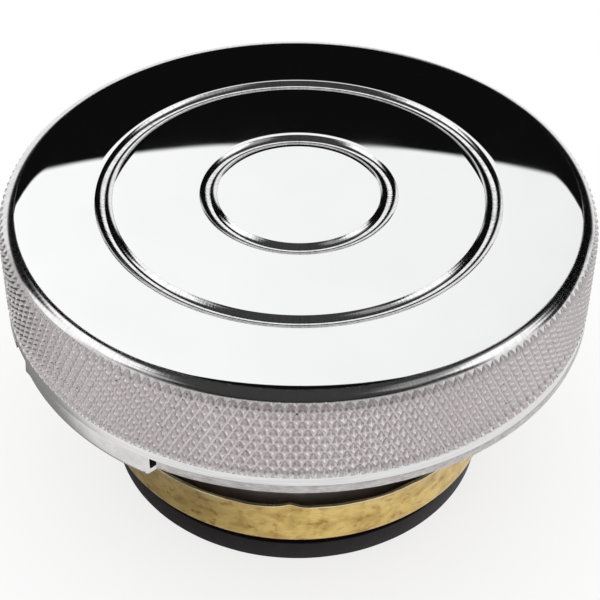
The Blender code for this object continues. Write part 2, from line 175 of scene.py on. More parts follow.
# Camera, in millimetres and degrees
CAMERA_PLACE = (0.0, -154.9, 154.2)
CAMERA_PITCH_DEG = 40.68
CAMERA_YAW_DEG = 0.1
CAMERA_ROLL_DEG = 0.64
CAMERA_LENS = 99.53
SENSOR_WIDTH = 36.0

# Floor, in metres
FLOOR_REACH = 3.0
FLOOR_GAP = 0.0002
CARD_GAP = 0.0001
CARD_RADIUS = 0.048


# ---------------------------------------------------------------- shape helpers

def rng(seed):
    return np.random.default_rng(seed)


def arc(centre, radius, start_deg, end_deg, steps):
    """Points of an arc in the (radius, height) plane, both ends included."""
    points = []
    for step in range(steps + 1):
        angle = math.radians(start_deg + (end_deg - start_deg) * step / steps)
        points.append((centre[0] + radius * math.cos(angle), centre[1] + radius * math.sin(angle)))
    return points


def rounded(profile, closed=True):
    """A profile whose listed corners (r, z, corner radius) become short arcs."""
    count = len(profile)
    points = []
    for i, corner in enumerate(profile):
        here = Vector(corner[:2])
        radius = corner[2] if len(corner) > 2 else 0.0
        if radius == 0.0 or (not closed and i in (0, count - 1)):
            points.append((here.x, here.y))
            continue
        before = Vector(profile[(i - 1) % count][:2]) - here
        after = Vector(profile[(i + 1) % count][:2]) - here
        turn = before.angle(after)
        cut = min(radius / math.tan(turn / 2.0), 0.48 * before.length, 0.48 * after.length)
        first = here + before.normalized() * cut
        last = here + after.normalized() * cut
        steps = 3 if radius < 0.35 else 5
        for step in range(steps + 1):
            t = step / steps
            spot = first.lerp(here, t).lerp(here.lerp(last, t), t)
            points.append((spot.x, spot.y))
    return points


def smooth_step(low, high, value):
    t = np.clip((value - low) / (high - low), 0.0, 1.0)
    return t * t * (3.0 - 2.0 * t)


def wave_noise(angle, seed, waves, low=3, high=40):
    """Smooth repeatable variation round a circle, about one in size."""
    draw = rng(seed)
    total = np.zeros_like(angle)
    for _ in range(waves):
        total += np.sin(draw.integers(low, high) * angle + draw.uniform(0, TAU)) * draw.uniform(0.4, 1.0)
    return total / math.sqrt(waves)


def make_piece(name, vertices, faces, materials, face_materials=None, sharp_deg=35.0):
    mesh = bpy.data.meshes.new(name)
    mesh.from_pydata(vertices, [], faces)
    for material in materials:
        mesh.materials.append(material)
    if face_materials is not None:
        mesh.polygons.foreach_set("material_index", face_materials)
    mesh.polygons.foreach_set("use_smooth", [True] * len(mesh.polygons))
    mesh.update()
    if sharp_deg is not None:
        mesh.set_sharp_from_angle(angle=math.radians(sharp_deg))
    piece = bpy.data.objects.new(name, mesh)
    bpy.context.scene.collection.objects.link(piece)
    return piece


def grid_faces(rows, columns, closed_rows):
    """Quads of a turned surface: rows run along the profile and columns round the axis."""
    across = np.arange(columns)
    beside = (across + 1) % columns
    faces = []
    for row in range(rows if closed_rows else rows - 1):
        here = row * columns
        below = ((row + 1) % rows) * columns
        strip = np.stack([here + across, below + across, below + beside, here + beside], axis=1)
        faces.append(strip)
    return np.concatenate(faces)


def lathe(name, profile, materials, columns=256, shape=None, zones=None, centre=(0.0, 0.0), sharp_deg=35.0):
    """Turn a closed profile, or one that ends on the axis at both ends, about an upright axis.

    The profile runs down the outer side. shape(r, z, angle) may move points, and zones gives each
    profile segment's material number.
    """
    on_axis = profile[0][0] == 0.0 and profile[-1][0] == 0.0
    body = profile[1:-1] if on_axis else profile
    rows = len(body)
    angle = np.arange(columns) * TAU / columns
    r = np.repeat(np.array([p[0] for p in body])[:, None], columns, axis=1)
    z = np.repeat(np.array([p[1] for p in body])[:, None], columns, axis=1)
    around = np.repeat(angle[None, :], rows, axis=0)
    if shape is not None:
        r, z, around = shape(r, z, around)
    x = r * np.cos(around) + centre[0]
    y = r * np.sin(around) + centre[1]
    points = (np.stack([x, y, z], axis=-1).reshape(-1, 3) * MM).tolist()
    faces = grid_faces(rows, columns, not on_axis).tolist()
    marks = None
    if zones is not None:
        marks = np.repeat(np.array(zones), columns).tolist()
    if on_axis:
        top = len(points)
        points.append((centre[0] * MM, centre[1] * MM, profile[0][1] * MM))
        points.append((centre[0] * MM, centre[1] * MM, profile[-1][1] * MM))
        last = (rows - 1) * columns
        for i in range(columns):
            j = (i + 1) % columns
            faces.append([top, i, j])
            faces.append([top + 1, last + j, last + i])
        if marks is not None:
            marks = marks + [zones[0], zones[-1]] * columns
    return make_piece(name, points, faces, materials, marks, sharp_deg)


def ride_as(piece, body, node):
    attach(piece, body)
    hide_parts(node)
    return piece


def turned(node, body, material, profile, columns=256, shape=None):
    """A turned piece in place of one CAD node."""
    piece = lathe(node + "_body", profile, [MATERIALS[material]], columns, shape)
    return ride_as(piece, body, node)


# ---------------------------------------------------------------- node helpers

class Nodes:
    """Makes and links nodes in one tree."""

    def __init__(self, tree):
        self.tree = tree

    def node(self, kind, **settings):
        made = self.tree.nodes.new(kind)
        for key, value in settings.items():
            setattr(made, key, value)
        return made

    def feed(self, socket, value):
        if isinstance(value, bpy.types.NodeSocket):
            self.tree.links.new(value, socket)
        else:
            socket.default_value = value

    def math(self, operation, first, second=0.0):
        made = self.node("ShaderNodeMath", operation=operation)
        for socket, value in zip(made.inputs, (first, second)):
            self.feed(socket, value)
        return made.outputs[0]

    def plus(self, first, second):
        return self.math("ADD", first, second)

    def minus(self, first, second):
        return self.math("SUBTRACT", first, second)

    def times(self, first, second):
        return self.math("MULTIPLY", first, second)

    def ramp(self, value, low, high, to_low=0.0, to_high=1.0, smooth=False):
        made = self.node("ShaderNodeMapRange")
        if smooth:
            made.interpolation_type = "SMOOTHSTEP"
        for socket, setting in zip(made.inputs, (value, low, high, to_low, to_high)):
            self.feed(socket, setting)
        return made.outputs[0]

    def blend(self, amount, first, second):
        made = self.node("ShaderNodeMix")
        self.feed(made.inputs[0], amount)
        self.feed(made.inputs[2], first)
        self.feed(made.inputs[3], second)
        return made.outputs[0]

    def split(self, vector):
        made = self.node("ShaderNodeSeparateXYZ")
        self.feed(made.inputs[0], vector)
        return made.outputs


class Recipe(Nodes):
    """Builds a metal or rubber surface from texture nodes placed in millimetres."""

    def __init__(self, name, metallic, colour, roughness):
        self.material = bpy.data.materials.new(name)
        self.material.use_nodes = True
        super().__init__(self.material.node_tree)
        self.shader = self.tree.nodes["Principled BSDF"]
        self.shader.inputs["Metallic"].default_value = metallic
        self.shader.inputs["Base Color"].default_value = (*colour, 1.0)
        self.shader.inputs["Roughness"].default_value = roughness
        self.height = None

    def place(self, scale=(1.0, 1.0, 1.0)):
        """Position on the piece, in millimetres times scale."""
        where = self.node("ShaderNodeTexCoord").outputs["Object"]
        made = self.node("ShaderNodeVectorMath", operation="MULTIPLY")
        self.feed(made.inputs[0], where)
        made.inputs[1].default_value = tuple(s / MM for s in scale)
        return made.outputs[0]

    def round_axis(self, around=1.0, along=1.0, turn_radius=COVER_RADIUS):
        """Texture space with no seam: arc length round the axis, then distance out and down."""
        x, y, z = self.split(self.place())
        squares = self.plus(self.times(x, x), self.times(y, y))
        radius = self.math("MAXIMUM", self.math("SQRT", squares), 0.001)
        if turn_radius is None:
            turn_radius = self.ramp(radius, 16.0, 16.1, *GROOVE_RADII)
        share = self.times(self.math("DIVIDE", turn_radius, radius), around)
        made = self.node("ShaderNodeCombineXYZ")
        self.feed(made.inputs[0], self.times(x, share))
        self.feed(made.inputs[1], self.times(y, share))
        self.feed(made.inputs[2], self.times(self.minus(radius, z), along))
        return made.outputs[0]

    def height_of(self):
        return self.split(self.place())[2]

    def noise(self, where, scale, detail=3.0, rough=0.55, distortion=0.0):
        made = self.node("ShaderNodeTexNoise")
        self.feed(made.inputs["Vector"], where)
        made.inputs["Scale"].default_value = scale
        made.inputs["Detail"].default_value = detail
        made.inputs["Roughness"].default_value = rough
        made.inputs["Distortion"].default_value = distortion
        return made.outputs[0]

    def specks(self, where, scale, size):
        """One at small spots scattered about, and zero between them."""
        made = self.node("ShaderNodeTexVoronoi")
        self.feed(made.inputs["Vector"], where)
        made.inputs["Scale"].default_value = scale
        return self.ramp(made.outputs["Distance"], size, size * 0.5)

    def attribute(self, name):
        return self.node("ShaderNodeAttribute", attribute_name=name).outputs["Fac"]

    def tint(self, amount, first, second):
        made = self.node("ShaderNodeMix", data_type="RGBA")
        self.feed(made.inputs[0], amount)
        for socket, value in ((made.inputs[6], first), (made.inputs[7], second)):
            self.feed(socket, value if isinstance(value, bpy.types.NodeSocket) else (*value, 1.0))
        return made.outputs[2]

    def bump(self, height, millimetres):
        """Add a relief of that many millimetres where height is one."""
        made = self.node("ShaderNodeBump")
        made.inputs["Strength"].default_value = 1.0
        made.inputs["Distance"].default_value = millimetres * MM
        self.feed(made.inputs["Height"], height)
        if self.height is not None:
            self.feed(made.inputs["Normal"], self.height)
        self.height = made.outputs[0]
        self.feed(self.shader.inputs["Normal"], self.height)

    def colour(self, value):
        self.feed(self.shader.inputs["Base Color"], value)

    def roughness(self, value):
        self.feed(self.shader.inputs["Roughness"], value)


# ---------------------------------------------------------------- materials

def polished_face():
    """Mirror-polished aluminium with the faint haze that buffing leaves."""
    m = Recipe("polished_face", 1.0, (0.95, 0.955, 0.96), 0.015)
    haze = m.noise(m.place(), 0.09, 2.0)
    m.roughness(m.ramp(haze, 0.3, 0.7, 0.008, 0.022))
    m.colour(m.tint(m.ramp(haze, 0.3, 0.7), (0.96, 0.962, 0.965), (0.93, 0.935, 0.94)))
    m.bump(m.noise(m.place(), 0.25, 1.0), 0.0003)
    return m.material


def milled_groove():
    """Ball-milled groove with fine chatter marks across it."""
    m = Recipe("milled_groove", 1.0, (0.86, 0.865, 0.875), 0.14)
    marks = m.noise(m.round_axis(1.0, 0.08, None), 3.2, 3.0, 0.7)
    patches = m.noise(m.round_axis(1.0, 0.2, None), 0.45, 2.0, 0.6)
    mixed = m.plus(m.times(marks, 0.7), m.times(patches, 0.3))
    m.roughness(m.ramp(mixed, 0.35, 0.65, 0.04, 0.13))
    m.colour(m.tint(m.ramp(mixed, 0.45, 0.62), (0.95, 0.945, 0.95), (0.74, 0.73, 0.735)))
    m.bump(marks, 0.007)
    return m.material


def brushed_rim():
    """Rim round, finished with a strap that leaves fine marks across it."""
    m = Recipe("brushed_rim", 1.0, (0.88, 0.885, 0.89), 0.1)
    across = m.noise(m.round_axis(1.0, 0.07), 3.6, 3.0, 0.65)
    around = m.noise(m.round_axis(0.05, 1.0), 6.0, 2.0, 0.6)
    m.roughness(m.ramp(across, 0.3, 0.7, 0.07, 0.17))
    m.colour(m.tint(m.ramp(across, 0.35, 0.7), (0.93, 0.92, 0.925), (0.78, 0.765, 0.77)))
    m.bump(across, 0.0045)
    m.bump(around, 0.003)
    return m.material


def knurled_metal():
    """Diamond knurl: burnished crests, duller groove floors darkened with painted shade by their cut depth,
    and a few dark pits.
    """
    m = Recipe("knurled_metal", 1.0, (0.84, 0.835, 0.83), 0.3)
    depth = m.attribute("cut_depth")
    grain = m.noise(m.place(), 5.0, 4.0, 0.7)
    pitted = m.ramp(m.noise(m.place(), 0.5, 1.0), 0.50, 0.62)
    pits = m.times(m.specks(m.place(), 1.15, 0.16), pitted)
    # floor is highest at the groove bottoms: it darkens them with painted shade and makes them a little
    # rougher
    floor = m.ramp(depth, 0.5, 0.95)
    body = m.tint(m.ramp(grain, 0.35, 0.7), (0.94, 0.895, 0.90), (0.80, 0.75, 0.755))
    # painted shade in the groove floors, darkest where the cut is deepest
    body = m.tint(m.times(floor, 0.36), body, (0.36, 0.325, 0.33))
    m.colour(m.tint(m.times(pits, 0.8), body, (0.14, 0.12, 0.115)))
    m.roughness(m.plus(m.ramp(grain, 0.3, 0.7, 0.05, 0.15), m.times(floor, 0.06)))
    m.bump(grain, 0.02)
    m.bump(m.times(pits, -1.0), 0.05)
    return m.material


def turned_land():
    """Bright turned aluminium with fine tool lines."""
    m = Recipe("turned_land", 1.0, (0.88, 0.88, 0.885), 0.2)
    lines = m.noise(m.round_axis(0.02, 1.0), 7.0, 2.0, 0.6)
    m.roughness(m.ramp(lines, 0.3, 0.7, 0.14, 0.28))
    m.colour(m.tint(m.ramp(lines, 0.35, 0.7), (0.92, 0.91, 0.915), (0.80, 0.79, 0.795)))
    m.bump(lines, 0.012)
    return m.material


def plated_steel():
    """Bright nickel plate over pressed steel, with faint clouding."""
    m = Recipe("plated_steel", 1.0, (0.80, 0.79, 0.78), 0.2)
    cloud = m.noise(m.place(), 0.6, 3.0)
    fine = m.noise(m.place(), 14.0, 3.0, 0.7)
    m.colour(m.tint(m.ramp(cloud, 0.35, 0.65), (0.84, 0.82, 0.815), (0.72, 0.70, 0.695)))
    m.roughness(m.plus(m.ramp(cloud, 0.3, 0.7, 0.14, 0.22), m.ramp(fine, 0.4, 0.8, 0.0, 0.08)))
    m.bump(fine, 0.003)
    return m.material


def sheared_band():
    """Blanked and tumbled edge of the shell, smeared along its length."""
    m = Recipe("sheared_band", 1.0, (0.62, 0.60, 0.60), 0.34)
    smear = m.noise(m.round_axis(0.18, 1.0), 7.0, 4.0, 0.7)
    blotch = m.noise(m.round_axis(0.5, 1.0), 1.6, 3.0, 0.6)
    shade = m.plus(m.times(smear, 0.6), m.times(blotch, 0.4))
    m.colour(m.tint(m.ramp(shade, 0.38, 0.62), (0.80, 0.775, 0.76), (0.52, 0.49, 0.48)))
    m.roughness(m.ramp(smear, 0.3, 0.7, 0.24, 0.44))
    m.bump(smear, 0.05)
    return m.material


def spring_steel():
    """Drawn spring wire and strip, grey, with lines along the draw."""
    m = Recipe("spring_steel", 1.0, (0.42, 0.42, 0.43), 0.34)
    lines = m.noise(m.round_axis(0.05, 1.0), 5.0, 3.0, 0.6)
    m.colour(m.tint(m.ramp(lines, 0.35, 0.65), (0.50, 0.50, 0.51), (0.32, 0.32, 0.33)))
    m.roughness(m.ramp(lines, 0.3, 0.7, 0.26, 0.42))
    m.bump(lines, 0.01)
    return m.material


def dark_bell():
    """Drawn steel bell, dark and satin, with faint drawing lines down its wall."""
    m = Recipe("dark_bell", 1.0, (0.15, 0.14, 0.145), 0.3)
    cloud = m.noise(m.place(), 0.35, 3.0)
    lines = m.noise(m.round_axis(1.0, 0.05), 3.0, 3.0, 0.6)
    m.colour(m.tint(m.ramp(cloud, 0.3, 0.7), (0.34, 0.31, 0.315), (0.22, 0.20, 0.205)))
    m.roughness(m.plus(m.ramp(cloud, 0.3, 0.7, 0.36, 0.46), m.ramp(lines, 0.4, 0.8, 0.0, 0.08)))
    m.bump(lines, 0.006)
    return m.material


def stained_brass():
    """Drawn brass: fine ridges round the rim, brown stains and a painted glint along the rim's top edge."""
    m = Recipe("stained_brass", 1.0, (0.74, 0.55, 0.24), 0.3)
    stain = m.noise(m.round_axis(0.55, 0.9), 0.42, 4.0, 0.62, 0.6)
    patch = m.noise(m.round_axis(0.5, 1.0), 0.8, 4.0, 0.6)
    lines = m.noise(m.round_axis(0.06, 1.0), 5.5, 3.0, 0.6)
    mix = m.plus(m.times(stain, 0.6), m.times(patch, 0.4))
    base = m.tint(m.ramp(mix, 0.43, 0.58), (0.77, 0.555, 0.19), (0.56, 0.38, 0.12))
    base = m.tint(m.ramp(patch, 0.57, 0.66, 0.0, 0.85), base, (0.42, 0.225, 0.05))
    spots = m.times(m.specks(m.round_axis(1.0, 1.0), 0.5, 0.2), m.ramp(stain, 0.45, 0.55))
    base = m.tint(m.times(spots, 0.7), base, (0.36, 0.18, 0.045))
    # painted highlight: the top edge of the rim is tinted bright pale brass as a glint
    base = m.tint(m.ramp(m.height_of(), CUP_RIM_Z - 0.35, CUP_RIM_Z - 0.1), base, (0.93, 0.80, 0.48))
    m.colour(m.tint(m.ramp(lines, 0.5, 0.75, 0.0, 0.35), base, (0.42, 0.29, 0.12)))
    m.roughness(m.plus(m.ramp(mix, 0.3, 0.7, 0.20, 0.38), m.ramp(lines, 0.4, 0.8, 0.0, 0.08)))
    m.bump(lines, 0.03)
    m.bump(patch, 0.02)
    return m.material


def clean_brass():
    """Turned and pressed brass inside the valve."""
    m = Recipe("clean_brass", 1.0, (0.80, 0.64, 0.33), 0.28)
    cloud = m.noise(m.place(), 0.5, 3.0)
    lines = m.noise(m.round_axis(0.04, 1.0), 6.0, 2.0, 0.6)
    m.colour(m.tint(m.ramp(cloud, 0.35, 0.65), (0.82, 0.66, 0.34), (0.66, 0.50, 0.24)))
    m.roughness(m.plus(m.ramp(cloud, 0.3, 0.7, 0.2, 0.32), m.ramp(lines, 0.4, 0.8, 0.0, 0.1)))
    m.bump(lines, 0.02)
    return m.material


def black_rubber():
    """Moulded rubber with a fine matt grain and a dusting of lighter specks."""
    m = Recipe("black_rubber", 0.0, (0.016, 0.013, 0.015), 0.5)
    grain = m.noise(m.place(), 9.0, 4.0, 0.7)
    cloud = m.noise(m.place(), 0.8, 3.0)
    dust = m.specks(m.place(), 3.2, 0.10)
    base = m.tint(m.ramp(cloud, 0.35, 0.7), (0.005, 0.0022, 0.004), (0.009, 0.0055, 0.008))
    m.colour(m.tint(m.times(dust, 0.5), base, (0.05, 0.042, 0.045)))
    m.shader.inputs["Specular IOR Level"].default_value = 0.2
    m.roughness(m.ramp(grain, 0.3, 0.7, 0.42, 0.60))
    m.bump(grain, 0.03)
    return m.material


MATERIALS = {
    "face": polished_face(),
    "groove": milled_groove(),
    "rim": brushed_rim(),
    "knurl": knurled_metal(),
    "land": turned_land(),
    "plated": plated_steel(),
    "band": sheared_band(),
    "spring": spring_steel(),
    "bell": dark_bell(),
    "cup": stained_brass(),
    "brass": clean_brass(),
    "rubber": black_rubber(),
}


# ---------------------------------------------------------------- cover

FACE_COLUMNS = 364
KNURL_ROWS = 46
KNURL_ROW_STEP = KNURL_AXIAL_PITCH / KNURL_COLUMNS
KNURL_TOP_Z = KNURL_BOTTOM_Z + KNURL_ROWS * KNURL_ROW_STEP
POLISH_START = 30.3             # buffing wears the face down from here to the rim
POLISH_DROP = 0.044


def face_height(radius):
    crown = COVER_TOP_Z - FACE_SAG * (radius / FACE_RADIUS) ** 2
    worn = max(0.0, (radius - POLISH_START) / (FACE_RADIUS - POLISH_START))
    return crown - POLISH_DROP * worn ** 3


def face_slope():
    step = 0.001
    return (face_height(FACE_RADIUS - step) - face_height(FACE_RADIUS)) / step


def rim_circle():
    """Centre and radius of the rim round, tangent to the face and to the knurl's crests."""
    tilt = math.atan(face_slope())
    radius = (COVER_RADIUS - FACE_RADIUS) / (1.0 - math.sin(tilt))
    centre = (COVER_RADIUS - radius, face_height(FACE_RADIUS) - radius * math.cos(tilt))
    return centre, radius, tilt


def rim_radius_at(z):
    centre, radius, _ = rim_circle()
    rise = np.clip(z - centre[1], 0.0, radius)
    return centre[0] + np.sqrt(radius * radius - rise * rise)


def groove_section(middle):
    """Ball-milled groove with softly rounded lips, from its inner lip to its outer lip."""
    surface = face_height(middle)
    ball = (GROOVE_HALF_WIDTH ** 2 + GROOVE_DEPTH ** 2) / (2 * GROOVE_DEPTH)
    centre_z = surface - GROOVE_DEPTH + ball
    lip_z = surface - GROOVE_LIP
    lip_reach = math.sqrt((ball + GROOVE_LIP) ** 2 - (centre_z - lip_z) ** 2)
    lean = math.degrees(math.atan2(centre_z - lip_z, lip_reach))
    inner = arc((middle - lip_reach, lip_z), GROOVE_LIP, 90, lean, 5)
    floor = arc((middle, centre_z), ball, 180 + lean, 360 - lean, 14)
    outer = arc((middle + lip_reach, lip_z), GROOVE_LIP, 180 - lean, 90, 5)
    slope = 2.0 * FACE_SAG * middle / FACE_RADIUS ** 2
    section = [(r, z - slope * (r - middle)) for r, z in inner + floor[1:-1] + outer]
    return section, len(inner) - 1, len(inner) - 1 + len(floor) - 1


def face_rows():
    """Profile of the face and the upper rim round, with a material for each segment."""
    points, marks = [], []

    def run(radii):
        for radius in radii:
            points.append((radius, face_height(radius)))
            marks.append(0)

    def cut(middle):
        section, first, last = groove_section(middle)
        for i, point in enumerate(section):
            points.append(point)
            marks.append(1 if first <= i < last else 0)

    run((1.2, 3.0, 5.0, 7.0, 8.4, 9.1))
    cut(GROOVE_RADII[0])
    run((12.1, 13.0, 15.0, 17.0, 19.0, 20.6, 21.2))
    cut(GROOVE_RADII[1])
    run((24.3, 25.0, 26.5, 28.0, 29.3, 30.3, 30.7, 31.1, 31.5, 31.8, 32.1, 32.35, 32.6, 32.8))
    centre, radius, tilt = rim_circle()
    end = math.degrees(math.asin((KNURL_TOP_Z + 0.05 - centre[1]) / radius))
    rim = arc(centre, radius, 90 - math.degrees(tilt), end, 12)
    points += rim
    marks += [2] * len(rim)
    return points, marks


def groove_cut(phase):
    """Share of the full depth that one set of knurl grooves has at a phase counted in lines."""
    off = np.abs(phase - np.round(phase))
    return np.interp(off, np.linspace(0.0, 0.5, len(KNURL_SECTION)), KNURL_SECTION)


def knurl_depth_at(z):
    run_out = np.clip((z - KNURL_BOTTOM_Z) / KNURL_RUN_OUT, 0.2, 1.0)
    return (KNURL_DEPTH + KNURL_RUN_IN * smooth_step(*KNURL_RUN_IN_Z, z)) * run_out


class Rings:
    """A closed turned mesh whose rings may have different numbers of points."""

    def __init__(self):
        self.points = []
        self.faces = []
        self.marks = []
        self.rings = []

    def ring(self, r, z, count):
        angle = np.arange(count) * TAU / count
        r = np.broadcast_to(r, (count,))
        start = len(self.points)
        self.points += np.stack([r * np.cos(angle), r * np.sin(angle), np.full(count, z)], 1).tolist()
        self.rings.append((start, count))
        return start

    def pole(self, z, ring, mark, top):
        start, count = self.rings[ring]
        tip = len(self.points)
        self.points.append([0.0, 0.0, z])
        for i in range(count):
            j = start + (i + 1) % count
            self.faces.append([tip, start + i, j] if top else [tip, j, start + i])
            self.marks.append(mark)

    def skirt(self, upper, lower, mark):
        """Join two rings, whose counts are equal or a whole multiple of each other."""
        first, many = self.rings[upper]
        second, fewer = self.rings[lower]
        if many == fewer:
            for i in range(many):
                j = (i + 1) % many
                self.faces.append([first + i, second + i, second + j, first + j])
                self.marks.append(mark)
            return
        coarse_above = many < fewer
        coarse, fine = (first, second) if coarse_above else (second, first)
        count = min(many, fewer)
        share = max(many, fewer) // count
        for i in range(count):
            here = coarse + i
            beside = coarse + (i + 1) % count
            for k in range(share):
                a = fine + i * share + k
                b = fine + (i * share + k + 1) % (count * share)
                tip = here if k < share // 2 else beside
                self.faces.append([tip, a, b] if coarse_above else [tip, b, a])
                self.marks.append(mark)
            middle = fine + i * share + share // 2
            self.faces.append([here, middle, beside] if coarse_above else [here, beside, middle])
            self.marks.append(mark)


def knurl_surface(mesh):
    """Knurl rows, with each cell split along whichever groove cuts deeper there."""
    count = KNURL_LINES * KNURL_COLUMNS
    column = np.arange(count)
    angle = column * TAU / count
    draw = rng(7)
    uneven = 1.0 + 0.05 * wave_noise(angle, 11, 12, 5, 90)
    depths = []
    starts = []
    for row in range(KNURL_ROWS + 1):
        z = KNURL_TOP_Z - row * KNURL_ROW_STEP
        rising = groove_cut((column + row) / KNURL_COLUMNS)
        falling = groove_cut((column - row) / KNURL_COLUMNS)
        depth = np.maximum(rising, falling) * uneven * knurl_depth_at(z)
        depth = depth + np.where(depth > 0.01, draw.normal(0.0, 0.006, count), draw.uniform(0.0, 0.02, count))
        r = np.minimum(rim_radius_at(z), COVER_RADIUS - np.maximum(depth, 0.0))
        if row == KNURL_ROWS:
            r = np.full(count, LAND_RADIUS)
        depths.append(np.clip((COVER_RADIUS - r) / KNURL_DEPTH, 0.0, 1.0))
        starts.append(mesh.ring(r, z, count))
    for row in range(KNURL_ROWS):
        z = KNURL_TOP_Z - (row + 0.5) * KNURL_ROW_STEP
        along_rising = groove_cut((column + 0.5 + row + 0.5) / KNURL_COLUMNS)
        along_falling = groove_cut((column + 0.5 - row - 0.5) / KNURL_COLUMNS)
        upper, lower = starts[row], starts[row + 1]
        along = np.maximum(along_rising, along_falling) * knurl_depth_at(z)
        uncut = along < COVER_RADIUS - rim_radius_at(z)
        for c in range(count):
            d = (c + 1) % count
            a, b, e, f = upper + c, lower + c, lower + d, upper + d
            if along_rising[c] > along_falling[c]:
                mesh.faces += [[a, b, f], [b, e, f]]
            else:
                mesh.faces += [[a, b, e], [a, e, f]]
            mark = 2 if uncut[c] and z > rim_circle()[0][1] else 3
            mesh.marks += [mark, mark]
    return depths, starts


def make_cover():
    mesh = Rings()
    points, marks = face_rows()
    for r, z in points:
        mesh.ring(r, z, FACE_COLUMNS)
    mesh.pole(COVER_TOP_Z, 0, 0, True)
    for i in range(len(points) - 1):
        mesh.skirt(i, i + 1, marks[i])
    last_face = len(mesh.rings) - 1
    depths, starts = knurl_surface(mesh)
    mesh.skirt(last_face, last_face + 1, 2)
    lower = rounded([
        (LAND_RADIUS, KNURL_BOTTOM_Z - 0.06),
        (LAND_RADIUS, COVER_BOTTOM_Z, 0.02),
        (RECESS_RADIUS, COVER_BOTTOM_Z, 0.12),
        (RECESS_RADIUS, RECESS_Z, 0.4),
        (POCKET_RADIUS, RECESS_Z, 0.2),
        (POCKET_RADIUS, POCKET_Z),
    ], closed=False)
    before = len(mesh.rings) - 1
    for r, z in lower:
        mesh.ring(r, z, FACE_COLUMNS)
    for i in range(len(lower)):
        mesh.skirt(before + i, before + i + 1, 4)
    mesh.pole(POCKET_Z, len(mesh.rings) - 1, 4, False)
    names = ("face", "groove", "rim", "knurl", "land")
    vertices = (np.array(mesh.points) * MM).tolist()
    cover = make_piece("cover_body", vertices, mesh.faces, [MATERIALS[n] for n in names], mesh.marks, 32.0)
    # cut depth of each knurl point, which the knurl material turns into painted shade in the groove floors
    cut_depth = np.zeros(len(vertices))
    for start, depth in zip(starts, depths):
        cut_depth[start:start + len(depth)] = depth
    cover.data.attributes.new("cut_depth", "FLOAT", "POINT").data.foreach_set("value", cut_depth)
    return ride_as(cover, "cap", "cover")


make_cover()


# ---------------------------------------------------------------- locking shell

def shell_profile():
    """Web, wall, flange and band as one folded sheet."""
    inside = SHELL_WALL_RADIUS - SHELL_SHEET
    web_top = SHELL_WEB_Z + SHELL_SHEET
    flange_bottom = FLANGE_TOP_Z - SHELL_SHEET
    band_inside = BAND_RADIUS - SHELL_SHEET
    return rounded([
        (RIVET_HOLE_RADIUS, web_top, 0.1),
        (SHELL_WALL_RADIUS, web_top, 1.3),
        (SHELL_WALL_RADIUS, FLANGE_TOP_Z),
        (BAND_RADIUS, FLANGE_TOP_Z, 0.03),
        (BAND_RADIUS, BAND_BOTTOM_Z, 0.07),
        (band_inside, BAND_BOTTOM_Z, 0.06),
        (band_inside, flange_bottom, 0.15),
        (inside, flange_bottom, 0.3),
        (inside, SHELL_WEB_Z, 0.55),
        (RIVET_HOLE_RADIUS, SHELL_WEB_Z, 0.1),
    ])


def make_shell_ring():
    """The shell with its band cut away beside and across the two ears."""
    relief_radius = SHELL_WALL_RADIUS + 0.25
    flange_bottom = FLANGE_TOP_Z - SHELL_SHEET
    reach = EAR_WIDTH / 2 + EAR_RELIEF
    centre = math.radians(EAR_DIRECTION_DEG)
    profile = shell_profile()
    half = math.asin(reach / BAND_RADIUS)
    angles = []
    kinds = []
    for side in (0.0, math.pi):
        for sign, kind in ((-1.0, "out"), (-1.0, "in")):
            angles.append(centre + side + sign * half)
            kinds.append((sign, side, kind))
        for step in range(1, 24):
            angles.append(centre + side + half * (step / 12.0 - 1.0))
            kinds.append((0.0, side, "in"))
        for sign, kind in ((1.0, "in"), (1.0, "out")):
            angles.append(centre + side + sign * half)
            kinds.append((sign, side, kind))
        rest = math.pi - 2.0 * half
        for step in range(1, 100):
            angles.append(centre + side + half + rest * step / 100.0)
            kinds.append((0.0, side, "out"))
    columns = len(angles)
    worn = 0.05 * wave_noise(np.array(angles), 23, 10, 8, 60)

    def shape(r, z, around):
        around = np.repeat(np.array(angles)[None, :], r.shape[0], axis=0)
        low = (z < BAND_BOTTOM_Z + 0.2) & (r > relief_radius)
        z = np.where(low, z + np.clip(worn, -0.02, 0.12)[None, :], z)
        for i, (sign, side, kind) in enumerate(kinds):
            if kind == "in":
                over = r[:, i] > relief_radius
                r[:, i] = np.minimum(r[:, i], relief_radius)
                z[:, i] = np.where(over & (z[:, i] < flange_bottom), flange_bottom, z[:, i])
            if sign:
                cut = np.maximum(r[:, i], relief_radius)
                beyond = np.where(r[:, i] > SHELL_WALL_RADIUS - 1.0, reach / cut, reach / BAND_RADIUS)
                around[:, i] = centre + side + sign * np.arcsin(beyond)
        return r, z, around

    zones = []
    for i, (r, z) in enumerate(profile):
        zones.append(1 if r > BAND_RADIUS - SHELL_SHEET - 0.1 and z <= FLANGE_TOP_Z else 0)
    ring = lathe("shell_ring", profile, [MATERIALS["plated"], MATERIALS["band"]], columns, shape, zones)
    clean_mesh(ring)
    return ring


def clean_mesh(piece, distance=0.00002):
    """Weld points that a shape has brought together, so that no empty faces stay."""
    work = bmesh.new()
    work.from_mesh(piece.data)
    bmesh.ops.remove_doubles(work, verts=work.verts, dist=distance * MM)
    bmesh.ops.dissolve_degenerate(work, edges=work.edges, dist=distance * MM)
    work.to_mesh(piece.data)
    work.free()
    piece.data.set_sharp_from_angle(angle=math.radians(35.0))


